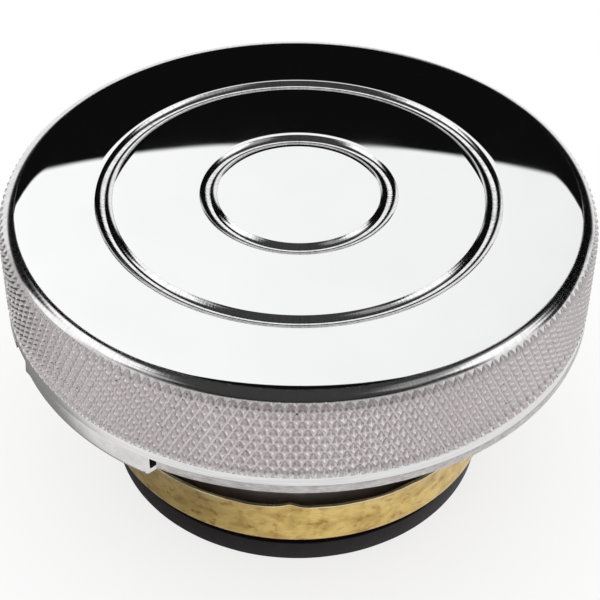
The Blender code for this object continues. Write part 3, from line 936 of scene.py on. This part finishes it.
def ear_section():
    """The ear's sheet: its root in the flange, the wall down and the tab turned inwards."""
    inside = EAR_RADIUS - SHELL_SHEET
    tab_top = EAR_BOTTOM_Z + SHELL_SHEET
    root = SHELL_WALL_RADIUS - 0.35
    return rounded([
        (root, FLANGE_TOP_Z - 0.03),
        (EAR_RADIUS, FLANGE_TOP_Z - 0.03, 0.28),
        (EAR_RADIUS, EAR_BOTTOM_Z, 0.75),
        (EAR_TIP_RADIUS, EAR_BOTTOM_Z, 0.12),
        (EAR_TIP_RADIUS, tab_top, 0.12),
        (inside, tab_top, 0.22),
        (inside, FLANGE_TOP_Z - SHELL_SHEET, 0.2),
        (root, FLANGE_TOP_Z - SHELL_SHEET + 0.03),
    ])


def make_ear(name, direction_deg):
    """One ear, its ends cut parallel to its own centre line and slightly flared at one corner."""
    profile = ear_section()
    rows = len(profile)
    steps = 48
    half = EAR_WIDTH / 2
    edge = 0.10
    between = [-1.0 + 2.0 * s / steps for s in range(1, steps)]
    stops = [-1.0, -1.0 + edge / half, *between, 1.0 - edge / half, 1.0]
    direction = math.radians(direction_deg)
    middle_r = np.mean([p[0] for p in profile])
    points = []
    for column, t in enumerate(stops):
        end = column in (0, len(stops) - 1)
        for r, z in profile:
            low_outside = z < EAR_BOTTOM_Z + 1.4 and r > EAR_RADIUS - 2.0
            flare = 0.20 * max(0.0, -(t + 0.86) / 0.14) ** 2 if low_outside else 0.0
            across = t * half
            reach = r + flare
            if end:
                reach += 0.05 if r < middle_r else -0.05
            along = math.sqrt(reach * reach - across * across)
            x = along * math.cos(direction) - across * math.sin(direction)
            y = along * math.sin(direction) + across * math.cos(direction)
            points.append((x * MM, y * MM, (z - 0.5 * flare) * MM))
    faces = []
    for column in range(len(stops) - 1):
        for row in range(rows):
            a = column * rows + row
            b = column * rows + (row + 1) % rows
            faces.append([a, b, b + rows, a + rows])
    faces.append(list(range(rows))[::-1])
    faces.append([(len(stops) - 1) * rows + row for row in range(rows)])
    return make_piece(name, points, faces, [MATERIALS["plated"]])


def join_solid(piece, *others):
    """Unite overlapping closed pieces into one closed mesh."""
    for other in others:
        union = piece.modifiers.new("union", "BOOLEAN")
        union.operation = "UNION"
        union.solver = "EXACT"
        union.object = other
    bpy.context.view_layer.update()
    mesh = bpy.data.meshes.new_from_object(piece.evaluated_get(bpy.context.evaluated_depsgraph_get()))
    piece.modifiers.clear()
    piece.data = mesh
    mesh.set_sharp_from_angle(angle=math.radians(35.0))
    for other in others:
        bpy.data.objects.remove(other, do_unlink=True)


def make_locking_shell():
    ring = make_shell_ring()
    ears = [make_ear(f"ear_{n}", EAR_DIRECTION_DEG + 180.0 * n) for n in (0, 1)]
    join_solid(ring, *ears)
    ring.name = "locking_shell_body"
    return ride_as(ring, "cap", "locking_shell")


make_locking_shell()


# ---------------------------------------------------------------- cap's inner pieces

def make_screws():
    for number, direction in enumerate(SCREW_DIRECTIONS_DEG, 1):
        angle = math.radians(direction)
        centre = (SCREW_CIRCLE_RADIUS * math.cos(angle), SCREW_CIRCLE_RADIUS * math.sin(angle))
        profile = [(0.0, SCREW_TIP_Z), (0.9, SCREW_TIP_Z), (SCREW_RADIUS, 35.0)]
        thread_z = 34.8
        while thread_z > 32.9:
            profile += [
                (SCREW_RADIUS, thread_z),
                (SCREW_ROOT_RADIUS, thread_z - 0.22),
                (SCREW_RADIUS, thread_z - 0.44),
            ]
            thread_z -= 0.5
        profile.append((SCREW_RADIUS, SCREW_SEAT_Z))
        profile += rounded([
            (SCREW_RADIUS, SCREW_SEAT_Z),
            (SCREW_HEAD_RADIUS, SCREW_SEAT_Z, 0.08),
            (SCREW_HEAD_RADIUS, SCREW_HEAD_Z, 0.3),
            (SOCKET_RADIUS, SCREW_HEAD_Z, 0.06),
        ], closed=False)[1:]
        profile += [(SOCKET_RADIUS, SOCKET_Z), (0.0, SOCKET_Z)]
        plated = [MATERIALS["plated"]]
        screw = lathe(f"cover_screw_{number}_body", profile, plated, 36, socket_shape, None, centre)
        ride_as(screw, "cap", f"cover_screw_{number}")


def socket_shape(r, z, around):
    """Make the hole in a screw's head six-sided."""
    inner = (r < 0.9) & (z < 31.3)
    corner = np.cos(np.mod(around, math.pi / 3) - math.pi / 6)
    return np.where(inner, r * math.cos(math.pi / 6) / corner, r), z, around


def make_disc_spring():
    profile = rounded([
        (RIVET_HOLE_RADIUS, 31.5, 0.08),
        (8.0, 31.5, 0.6),
        (31.0, 30.3, 0.14),
        (31.0, 29.8, 0.14),
        (8.0, 31.0, 0.6),
        (RIVET_HOLE_RADIUS, 31.0, 0.08),
    ])
    return turned("disc_spring", "cap", "spring", profile)


def make_upper_seal():
    inner, outer = UPPER_SEAL_RADII
    low, high = UPPER_SEAL_Z
    profile = rounded([(inner, high, 0.15), (outer, high, 0.15), (outer, low, 0.35), (inner, low, 0.35)])
    return turned("upper_seal", "cap", "rubber", profile)


def make_rivet():
    profile = [(0.0, 34.25)]
    profile += rounded([(1.2, 34.22), (4.2, 33.8, 0.8), (5.0, 33.1, 0.3), (5.0, 32.85, 0.1)], closed=False)
    profile += [(2.3, 32.85), (2.3, 28.0)]
    profile += rounded([(4.3, 28.0), (4.3, 27.5, 0.2), (3.3, 27.05, 0.5), (1.6, 26.76)], closed=False)
    profile += [(0.0, 26.7)]
    return turned("centre_rivet", "cap", "plated", profile, 96)


def washer(name, body, material, radii, heights, edge, columns=96):
    inner, outer = radii
    low, high = heights
    profile = rounded([(inner, high, edge), (outer, high, edge), (outer, low, edge), (inner, low, edge)])
    return turned(name, body, material, profile, columns)


def make_bell():
    lip_low, lip_high = BELL_LIP_Z
    inside = BELL_FOOT_RADIUS - BELL_SHEET
    profile = rounded([
        (RUNNING_HOLE_RADIUS, BELL_TOP_Z, 0.15),
        (BELL_TOP_RADIUS, BELL_TOP_Z, 2.4),
        (BELL_FOOT_RADIUS - 0.55, 15.5),
        (BELL_FOOT_RADIUS - 0.45, 13.2),
        (BELL_FOOT_RADIUS - 0.28, 12.2),
        (BELL_FOOT_RADIUS, 11.3),
        (BELL_FOOT_RADIUS + 0.35, 10.5),
        (BELL_LIP_RADIUS - 0.2, lip_high + 0.1),
        (BELL_LIP_RADIUS, lip_high - 0.25),
        (BELL_LIP_RADIUS, lip_low, 0.2),
        (inside + 0.3, lip_low, 0.3),
        (inside - 0.3, 11.0),
        (inside - 0.55, 13.0),
        (BELL_TOP_RADIUS - BELL_SHEET, BELL_TOP_Z - BELL_SHEET, 1.6),
        (RUNNING_HOLE_RADIUS, BELL_TOP_Z - BELL_SHEET, 0.15),
    ])
    return turned("spring_bell", "bell", "bell", profile)


def coil(name, radius, wire, span, steps, sides):
    """Compression spring with close end turns, ground flat at both ends."""
    low, high = span
    sink = 0.55 * wire
    start, end = low + wire - sink, high - wire + sink
    close = wire * 2.1
    pitch = (end - start - 2 * close) / (SPRING_TURNS - 2)
    count = int(SPRING_TURNS * steps)
    points, faces = [], []
    for step in range(count + 1):
        turn = step / steps
        closed_part = min(turn, 1.0) + max(0.0, turn - (SPRING_TURNS - 1.0))
        height = start + closed_part * close + (turn - closed_part) * pitch
        angle = TAU * turn
        for side in range(sides):
            spin = TAU * side / sides
            r = radius + wire * math.cos(spin)
            z = min(max(height + wire * math.sin(spin), low), high)
            points.append((r * math.cos(angle) * MM, r * math.sin(angle) * MM, z * MM))
    for step in range(count):
        for side in range(sides):
            a = step * sides + side
            b = step * sides + (side + 1) % sides
            faces.append([a, a + sides, b + sides, b])
    faces.append(list(range(sides)))
    faces.append([count * sides + side for side in range(sides)][::-1])
    return make_piece(name, points, faces, [MATERIALS["spring"]], None, 50.0)


def squash_spring(spring):
    """Give a spring its own copy of its mesh."""
    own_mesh(spring)


def make_pressure_spring():
    spring = coil("pressure_spring_body", SPRING_RADIUS, SPRING_WIRE, SPRING_Z, 64, 16)
    ride_as(spring, "bell", "pressure_spring")
    squash_spring(spring)


def make_vacuum_spring():
    spring = coil("vacuum_spring_body", VACUUM_SPRING_RADIUS, VACUUM_SPRING_WIRE, VACUUM_SPRING_Z, 40, 10)
    ride_as(spring, "valve", "vacuum_spring")
    squash_spring(spring)


make_screws()
make_disc_spring()
make_upper_seal()
make_rivet()
make_bell()
washer("spacer_washer", "bell", "plated", (RUNNING_HOLE_RADIUS, 6.0), (30.3, 30.7), 0.08)
washer("rivet_washer", "bell", "plated", (RUNNING_HOLE_RADIUS, 5.5), (28.3, 28.9), 0.1)
make_pressure_spring()


# ---------------------------------------------------------------- valve

def cup_profile():
    """Outside of the cup from its thin flared rim to its floor, then back up inside."""
    bend = 1.2
    bottom = CUP_FOOT_Z
    outer = [
        (CUP_RIM_RADIUS, CUP_RIM_Z - 0.05),
        (CUP_RIM_RADIUS - 0.02, CUP_RIM_Z - 0.2),
        (CUP_RIM_RADIUS - 0.13, CUP_RIM_Z - 0.4),
        (CUP_RIM_RADIUS - 0.24, CUP_RIM_Z - 0.55),
        (CUP_RIM_RADIUS - 0.30, STAKE_Z - 0.1),
        (CUP_RIM_RADIUS - 0.34, STAKE_Z - 0.3),
        (CUP_RIM_RADIUS - 0.42, STAKE_Z - 0.6),
        (CUP_RIM_RADIUS - 0.50, STAKE_Z - 1.0),
        (CUP_RIM_RADIUS - 0.56, STAKE_Z - 1.5),
        (CUP_FOOT_RADIUS + 0.12, CUP_FOOT_Z + 3.9),
        (CUP_FOOT_RADIUS + 0.08, CUP_FOOT_Z + 3.2),
        (CUP_FOOT_RADIUS + 0.05, CUP_FOOT_Z + 2.3),
    ]
    inner = [(r - CUP_SHEET + 0.12 * max(0.0, z - STAKE_Z), z) for r, z in reversed(outer)]
    inner[-1] = (CUP_RIM_RADIUS - 0.34, CUP_RIM_Z - 0.05)
    inside = bend - CUP_SHEET
    centre = (CUP_FOOT_RADIUS - bend, bottom + bend)
    profile = list(outer)
    profile += arc(centre, bend, 0, -90, 8)
    profile += rounded([
        (CUP_HOLE_RADIUS + 2.0, bottom),
        (CUP_HOLE_RADIUS, bottom, 0.1),
        (CUP_HOLE_RADIUS, bottom + CUP_SHEET, 0.1),
        (CUP_HOLE_RADIUS + 2.0, bottom + CUP_SHEET),
    ], closed=False)
    profile += arc(centre, inside, -90, 0, 6)
    profile += inner
    profile += [(CUP_RIM_RADIUS - 0.27, CUP_RIM_Z), (CUP_RIM_RADIUS - 0.07, CUP_RIM_Z)]
    return profile


def cup_shape(r, z, around):
    """Stakes, and the slight waviness of a drawn and trimmed rim."""
    angle = np.degrees(around)
    wall = smooth_step(CUP_FOOT_RADIUS - 1.5, CUP_FOOT_RADIUS - 0.9, r)
    high = smooth_step(CUP_FOOT_Z + 4.0, CUP_RIM_Z, z)
    push = np.zeros_like(r)
    for direction in STAKE_DIRECTIONS_DEG:
        off = (angle - direction + 180.0) % 360.0 - 180.0
        push += STAKE_DEPTH / (1.0 + (off / STAKE_HALF_WIDTH_DEG) ** 2) * smooth_step(8.6, CUP_RIM_Z - 0.2, z)
        punched = smooth_step(*PUNCH_LOW_Z, z) * (1.0 - smooth_step(*PUNCH_HIGH_Z, z))
        push += PUNCH_DEPTH * np.exp(-((off / PUNCH_HALF_WIDTH_DEG) ** 2)) * punched
    wobble = 0.05 * wave_noise(around, 31, 10, 3, 26) * high
    ripple = 0.03 * wave_noise(around + 0.02 * z, 37, 12, 20, 70) * high
    rim = 0.06 * wave_noise(around, 41, 8, 6, 30) * smooth_step(CUP_RIM_Z - 0.5, CUP_RIM_Z, z)
    r = r - push * wall + (wobble - ripple) * wall
    return np.minimum(r, CUP_RIM_RADIUS), np.minimum(z + rim * wall - 0.04 * high, CUP_RIM_Z), around


def make_cup():
    cup = lathe("valve_cup_body", cup_profile(), [MATERIALS["cup"]], 480, cup_shape, None, (0.0, 0.0), 40.0)
    return ride_as(cup, "valve", "valve_cup")


def make_gasket():
    profile = rounded([
        (CUP_HOLE_RADIUS, GASKET_TOP_Z, 0.15),
        (GASKET_RADIUS - 3.2, GASKET_TOP_Z, 0.2),
        (GASKET_RADIUS - 3.0, GASKET_EDGE_Z, 0.2),
        (GASKET_RADIUS, GASKET_EDGE_Z, 0.12),
        (GASKET_RADIUS, 1.4),
        (GASKET_RADIUS, 0.0, 0.14),
        (GASKET_STEP_RADIUS, 0.0, 0.35),
        (GASKET_STEP_RADIUS, GASKET_STEP_Z, 0.15),
        (CUP_HOLE_RADIUS, GASKET_STEP_Z, 0.15),
    ])

    def shape(r, z, around):
        bulge = 0.02 * wave_noise(around, 53, 8, 3, 30)
        return np.where(r > GASKET_RADIUS - 0.5, r + np.minimum(bulge, 0.0), r), z, around

    return turned("pressure_gasket", "valve", "rubber", profile, 256, shape)


def make_seat():
    collar = SEAT_BORE_RADIUS + SEAT_SHEET
    flange_top = SEAT_BOTTOM_Z + SEAT_SHEET
    bead_low, bead_high = SEAT_BEAD_Z
    profile = rounded([
        (SEAT_PORT_RADIUS, SEAT_TOP_Z, 0.12),
        (collar, SEAT_TOP_Z, 0.6),
        (collar, bead_high, 0.1),
        (SEAT_BEAD_RADIUS, bead_high, 0.25),
        (SEAT_BEAD_RADIUS, bead_low, 0.2),
        (collar, bead_low, 0.1),
        (collar, flange_top, 0.3),
        (SEAT_FLANGE_RADIUS, flange_top, 0.12),
        (SEAT_FLANGE_RADIUS, SEAT_BOTTOM_Z, 0.12),
        (SEAT_BORE_RADIUS, SEAT_BOTTOM_Z, 0.5),
        (SEAT_BORE_RADIUS, SEAT_TOP_Z - SEAT_SHEET, 0.4),
        (SEAT_PORT_RADIUS, SEAT_TOP_Z - SEAT_SHEET, 0.12),
    ])
    return turned("valve_seat", "valve", "brass", profile, 192)


def make_vacuum_valve():
    profile = [(0.0, 12.2)]
    profile += rounded([
        (0.6, 12.2),
        (1.2, 12.2, 0.3),
        (1.2, 11.6, 0.05),
        (0.85, 11.6),
        (0.85, 10.9),
        (1.2, 10.9, 0.05),
        (1.2, 3.7, 0.1),
        (7.6, 3.7, 0.12),
        (7.6, 3.1, 0.2),
        (3.2, 3.1, 0.4),
        (2.4, 2.5, 0.4),
        (0.5, 2.4),
    ], closed=False)
    profile += [(0.0, 2.4)]
    return turned("vacuum_valve", "vacuum", "brass", profile, 128)


make_cup()
make_gasket()
make_seat()
make_vacuum_spring()
make_vacuum_valve()
washer("vacuum_seal", "vacuum", "rubber", (1.6, 7.0), (4.0, 4.6), 0.15)
washer("vacuum_clip", "vacuum", "plated", (1.05, 3.4), (11.05, 11.45), 0.08, 64)


# ---------------------------------------------------------------- stage, light and camera

def glowing(name, grey, roughness):
    """A matt stage surface that also gives off white light, and its recipe."""
    m = Recipe(name, 0.0, (grey, grey, grey), roughness)
    m.shader.inputs["Specular IOR Level"].default_value = 0.0
    m.shader.inputs["Emission Color"].default_value = (1.0, 1.0, 1.0, 1.0)
    return m


def stage_sheet(name, vertices, faces, material):
    mesh = bpy.data.meshes.new(name)
    mesh.from_pydata(vertices, [], faces)
    mesh.materials.append(material)
    sheet = bpy.data.objects.new(name, mesh)
    bpy.context.scene.collection.objects.link(sheet)
    return sheet


def make_floor():
    """The pale floor. Reflections see the studio's own floor in its place."""
    z = CAD_BOX[0][2] - FLOOR_GAP
    corners = ((-1, -1), (1, -1), (1, 1), (-1, 1))
    vertices = [(x * FLOOR_REACH, y * FLOOR_REACH, z) for x, y in corners]
    m = glowing("pale_floor", 0.25, 0.9)
    m.shader.inputs["Emission Strength"].default_value = 0.74
    floor = stage_sheet("floor", vertices, [(0, 1, 2, 3)], m.material)
    floor.visible_glossy = False


def make_contact_shadow():
    """The shaded floor near the valve, which only reflections see: darkest on the left."""
    columns = 64
    points = [(0.0, 0.0, 0.0)]
    for i in range(columns):
        angle = TAU * i / columns
        points.append((CARD_RADIUS * math.cos(angle), CARD_RADIUS * math.sin(angle), 0.0))
    faces = [(0, 1 + i, 1 + (i + 1) % columns) for i in range(columns)]
    m = glowing("contact_shadow", 0.0, 1.0)
    x, y = m.split(m.place())[:2]
    away = m.math("SQRT", m.plus(m.times(x, x), m.times(y, y)))
    m.feed(m.shader.inputs["Alpha"], m.ramp(away, 36.0, 46.0, 1.0, 0.0, smooth=True))
    m.feed(m.shader.inputs["Emission Strength"], m.ramp(x, -22.0, 4.0, 0.3, 0.85, smooth=True))
    card = stage_sheet("contact_shadow", points, faces, m.material)
    card.location.z = CAD_BOX[0][2] - CARD_GAP
    card.visible_camera = False
    card.visible_diffuse = False
    card.visible_shadow = False


def area_light(name, place, aim, size, watts):
    """A soft panel that lights surfaces but isn't itself seen in the polished metal."""
    data = bpy.data.lights.new(name, "AREA")
    data.shape = "DISK"
    data.size = size
    data.energy = watts
    light = bpy.data.objects.new(name, data)
    light.location = place
    light.rotation_euler = (Vector(aim) - Vector(place)).to_track_quat("-Z", "Y").to_euler()
    light.visible_glossy = False
    light.visible_camera = False
    bpy.context.scene.collection.objects.link(light)


# Studio as the polished metal sees it: each panel is azimuth from and to, elevation from and to,
# edge softness in azimuth and in elevation (degrees), and brightness. Azimuth is zero behind the
# cap and grows towards its right side. Later panels cover earlier ones.
STUDIO_BASE = 0.045                          # ceiling
STUDIO = (
    (-180, 180, -90, 56, 1, 12, 0.004),     # dark walls
    (-180, 180, -90, -24, 1, 24, 0.85),     # white floor
    (112, 248, -30, 46, 14, 14, 0.52),      # room behind the camera
    (-112, -48, -1, 21, 10, 6, 0.50),       # left wall
    (-130, -44, -36, -1, 14, 6, 0.95),      # bright floor below it
    (-55, 6, -34, 21, 8, 7, 0.88),          # backdrop behind the cap, left part
    (-2, 52, -34, 7, 10, 12, 0.88),         # and its lower right part
    (50, 114, 0, 19, 8, 5, 0.84),           # right wall
    (84, 150, -26, -2, 16, 8, 0.48),        # dull patch below it
    (-126, -82, 24, 44, 12, 8, 0.72),       # left reflector
    (-114, -96, 50, 64, 8, 6, 0.43),
    (-102, -41, 44, 60, 6, 6, 1.20),        # left softbox
    (-86, -52, 57, 66, 8, 6, 1.15),
    (-90, -66, 22, 46, 7, 5, 1.10),
    (50, 122, 60, 74, 14, 8, 0.30),         # ceiling over the right softbox
    (82, 120, 18, 40, 8, 6, 0.82),          # right reflector
    (40, 54, 50, 60, 6, 5, 0.32),
    (54, 98, 45, 62, 8, 5, 1.20),           # right softbox
    (68, 98, 35, 47, 8, 5, 1.05),
    (-80, -6, -90, -36, 30, 6, 0.24),       # shadow on the floor to the left
    (-170, 10, -100, -62, 20, 10, 0.04),    # and under the cap
    (10, 190, -100, -66, 20, 12, 0.45),
)
KEY_BOX = (-19.5, 22.5, 34.65, 49.3, 1.2, 0.25)
KEY_BOW = 0.0035                             # its lower edge curves up by this much per degree squared
KEY_GLOW = (1.02, 0.88)                      # brightness at its left and right ends
AMBIENT = 1.0


def make_world():
    world = bpy.data.worlds.new("studio")
    bpy.context.scene.world = world
    world.use_nodes = True
    world.cycles.sampling_method = "NONE"    # every ray then sees the studio that its own kind calls for
    m = Nodes(world.node_tree)
    m.tree.nodes.clear()
    x, y, z = m.split(m.node("ShaderNodeTexCoord").outputs["Generated"])
    azimuth = m.math("DEGREES", m.math("ARCTAN2", x, y))
    elevation = m.math("DEGREES", m.math("ARCSINE", z))
    wrapped = m.math("MODULO", m.plus(azimuth, 360.0), 360.0)

    def above(value, edge, soft):
        return m.ramp(value, edge - soft / 2, edge + soft / 2, smooth=True)

    def below(value, edge, soft):
        return m.minus(1.0, above(value, edge, soft))

    def window(low_az, high_az, low_el, high_el, soft_az, soft_el, rise):
        sweep = wrapped if high_az > 180 else azimuth
        sides = m.times(above(sweep, low_az, soft_az), below(sweep, high_az, soft_az))
        ends = m.times(above(rise, low_el, soft_el), below(rise, high_el, soft_el))
        return m.times(sides, ends)

    light = STUDIO_BASE
    for *panel, strength in STUDIO:
        low_az, high_az, low_el, high_el, soft_az, soft_el = panel
        if high_az - low_az >= 360:
            mask = below(elevation, high_el, soft_el)
        else:
            mask = window(*panel, elevation)
        light = m.blend(mask, light, strength)
    bow = m.times(m.times(azimuth, azimuth), KEY_BOW)
    mask = window(*KEY_BOX, m.minus(elevation, bow))
    light = m.blend(mask, light, m.ramp(azimuth, *KEY_BOX[:2], *KEY_GLOW))

    glossy = m.node("ShaderNodeLightPath").outputs["Is Glossy Ray"]
    background = m.node("ShaderNodeBackground")
    background.inputs["Color"].default_value = (1.0, 1.0, 1.0, 1.0)
    m.feed(background.inputs["Strength"], m.blend(glossy, AMBIENT, light))
    m.feed(m.node("ShaderNodeOutputWorld").inputs["Surface"], background.outputs[0])


def make_camera():
    pitch = math.radians(CAMERA_PITCH_DEG)
    yaw = math.radians(CAMERA_YAW_DEG)
    roll = math.radians(CAMERA_ROLL_DEG)
    ahead = Vector((math.sin(yaw) * math.cos(pitch), math.cos(yaw) * math.cos(pitch), -math.sin(pitch)))
    right = Vector((math.cos(yaw), -math.sin(yaw), 0.0))
    up = right.cross(ahead)
    right, up = (
        right * math.cos(roll) + up * math.sin(roll),
        up * math.cos(roll) - right * math.sin(roll),
    )
    turn = Matrix((right, up, -ahead)).transposed().to_4x4()
    data = bpy.data.cameras.new("camera")
    data.lens = CAMERA_LENS
    data.sensor_width = SENSOR_WIDTH
    data.clip_start = 0.005
    data.clip_end = 20.0
    camera = bpy.data.objects.new("camera", data)
    camera.matrix_world = Matrix.Translation(Vector(CAMERA_PLACE) * MM) @ turn
    bpy.context.scene.collection.objects.link(camera)
    bpy.context.scene.camera = camera


make_floor()
make_contact_shadow()
make_world()
area_light("overhead", (0.0, 0.1, 1.2), (0.0, 0.0, 0.0), 1.4, 2.0)
make_camera()
bpy.context.scene.view_settings.view_transform = "Standard"
bpy.context.scene.view_settings.look = "None"
